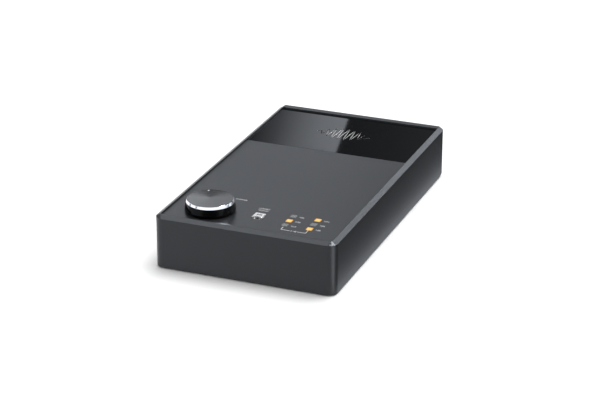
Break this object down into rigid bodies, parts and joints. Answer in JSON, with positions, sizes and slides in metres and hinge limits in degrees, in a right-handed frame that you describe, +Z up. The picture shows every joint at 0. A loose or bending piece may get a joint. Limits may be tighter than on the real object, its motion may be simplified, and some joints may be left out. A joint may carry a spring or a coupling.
{
  "type": "desktop audio interface",
  "caption": "Low desktop audio interface: dark satin metal case, recessed control panel, gloss rear panel, volume knob, push button, indicator lights and rear sockets.",
  "frame": {"origin": "on the table, under the centre of the case", "axes": "+X to the right, +Y to the rear where the sockets are, +Z up; the knob is at the front left"},
  "size_m": [0.14, 0.251, 0.0496],
  "materials": {
    "case_metal": "satin dark grey, fine blasted grain",
    "panel_metal": "satin dark grey",
    "black_glass": "polished black, opaque",
    "tape": "matte",
    "base_steel": "matte black",
    "screw_steel": "blackened",
    "rubber": "matte",
    "knob_black": "gloss",
    "bright_metal": "diamond cut, bright",
    "spun_metal": "spun, dark anodised",
    "white_print": "matte",
    "button_metal": "satin silver",
    "light_on": "lit amber",
    "light_off": "unlit smoked",
    "board": "solder mask",
    "chip_black": "moulded",
    "can_metal": "drawn can",
    "relay_plastic": "moulded",
    "ribbon": "ribbed grey",
    "brass": "machined",
    "socket_plastic": "moulded black",
    "socket_steel": "nickel plated",
    "nut_metal": "dark nickel",
    "rocker_plastic": "satin black"
  },
  "bodies": {
    "case": {"amplifier_chips": "chip_black", "base_plate": "base_steel", "base_screws": "screw_steel", "board_screws": "screw_steel", "case_shell": "case_metal", "control_board": "board", "control_header": "socket_plastic", "control_screws": "screw_steel", "control_standoffs": "brass", "converter_chips": "chip_black", "crystal_can": "socket_steel", "dc_inlet_housing": "socket_plastic", "dc_inlet_pin": "socket_steel", "electrolytic_capacitors": "can_metal", "glass_panel": "black_glass", "glass_tape": "tape", "jack_nuts": "nut_metal", "jack_springs": "brass", "led_baffle": "socket_plastic", "led_chips": "white_print", "led_lens_left_front": "light_off", "led_lens_left_middle": "light_on", "led_lens_left_rear": "light_off", "led_lens_right_front": "light_on", "led_lens_right_middle": "light_off", "led_lens_right_rear": "light_on", "line_in_left_jack": "socket_plastic", "line_in_right_jack": "socket_plastic", "line_out_left_jack": "socket_plastic", "line_out_right_jack": "socket_plastic", "main_board": "board", "main_header": "socket_plastic", "output_relays": "relay_plastic", "pot_body": "socket_plastic", "pot_bushing": "brass", "pot_nut": "socket_steel", "pot_washer": "socket_steel", "power_inductors": "chip_black", "power_switch_body": "socket_plastic", "processor_chip": "chip_black", "ribbon_cable": "ribbon", "rubber_feet": "rubber", "socket_panel": "case_metal", "socket_panel_screws": "screw_steel", "switch_terminals": "brass", "tact_switch_body": "socket_plastic", "top_panel": "panel_metal", "usb_insulator": "socket_plastic", "usb_shell": "socket_steel"},
    "volume_knob": {"knob_skirt": "knob_black", "knob_trim_ring": "bright_metal", "knob_cap": "spun_metal", "knob_pointer": "white_print", "knob_bush": "brass", "pot_shaft": "socket_steel"},
    "push_button": {"button_cap": "button_metal", "switch_plunger": "socket_plastic"},
    "rear_rocker": {"power_rocker": "rocker_plastic"}
  },
  "joints": [
    {"name": "volume_turn", "type": "hinge", "parent": "case", "child": "volume_knob", "pos_m": [-0.0366, -0.0984, 0.045], "axis": [0, 0, 1], "range_deg": [-178.5, 121.5]},
    {"name": "button_press", "type": "slide", "parent": "case", "child": "push_button", "axis": [0, 0, -1], "range_m": [0, 0.0008], "stiffness_N_per_m": 2000},
    {"name": "power_rock", "type": "hinge", "parent": "case", "child": "rear_rocker", "pos_m": [0.048, 0.1198, 0.025], "axis": [1, 0, 0], "range_deg": [-16, 0]}
  ]
}
